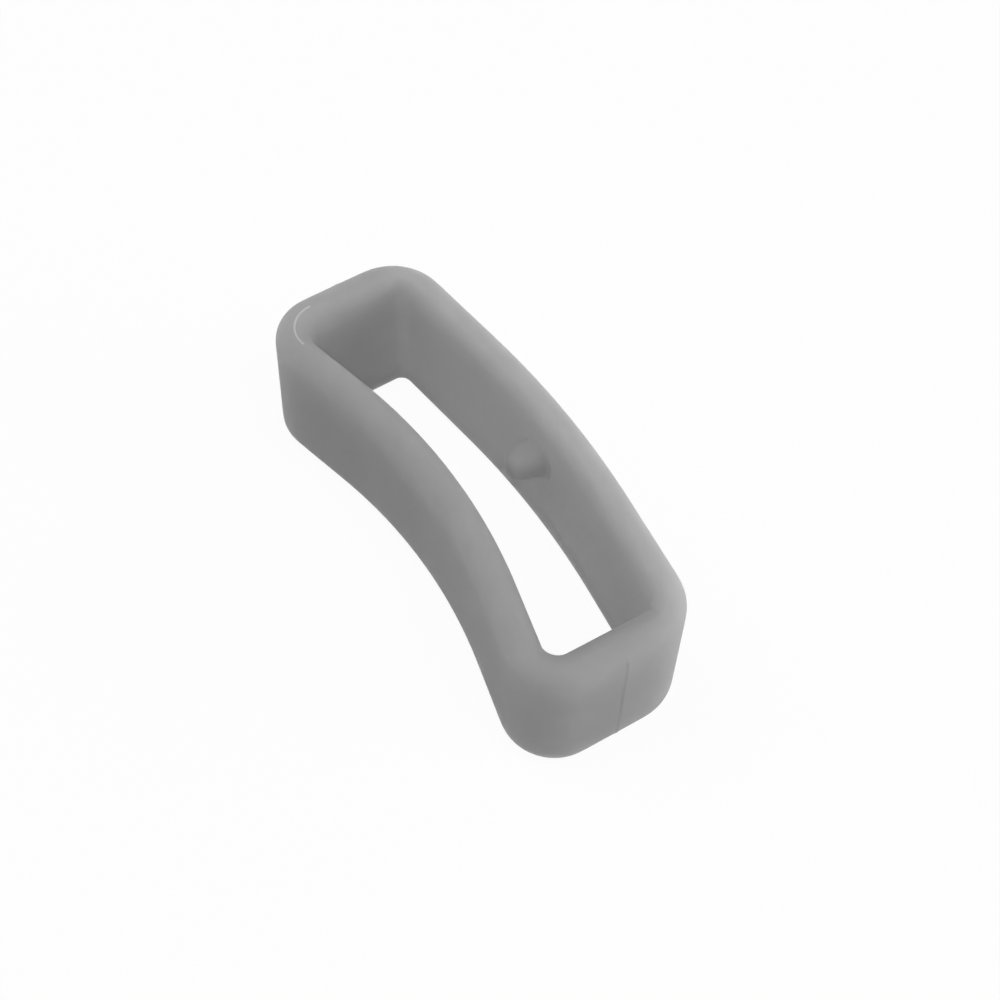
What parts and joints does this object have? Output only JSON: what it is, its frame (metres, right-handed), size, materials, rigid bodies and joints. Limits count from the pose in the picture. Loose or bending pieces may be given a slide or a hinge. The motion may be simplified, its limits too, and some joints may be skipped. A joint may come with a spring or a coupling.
{
  "type": "watch strap keeper",
  "caption": "Curved soft grey loop with rounded rims and an inner nub that holds a watch strap's loose end against the buckled strap.",
  "frame": {"origin": "middle of the strap's way through the loop, across and in height, level with the lower rim that the keeper stands on", "axes": "+X across the strap, +Y from the wrist outwards through the convex wall, +Z the way the strap slides through"},
  "size_m": [0.0264, 0.0102, 0.0078],
  "materials": {
    "silicone": "satin"
  },
  "bodies": {
    "root": {"keeper_loop": "silicone"}
  },
  "joints": []
}
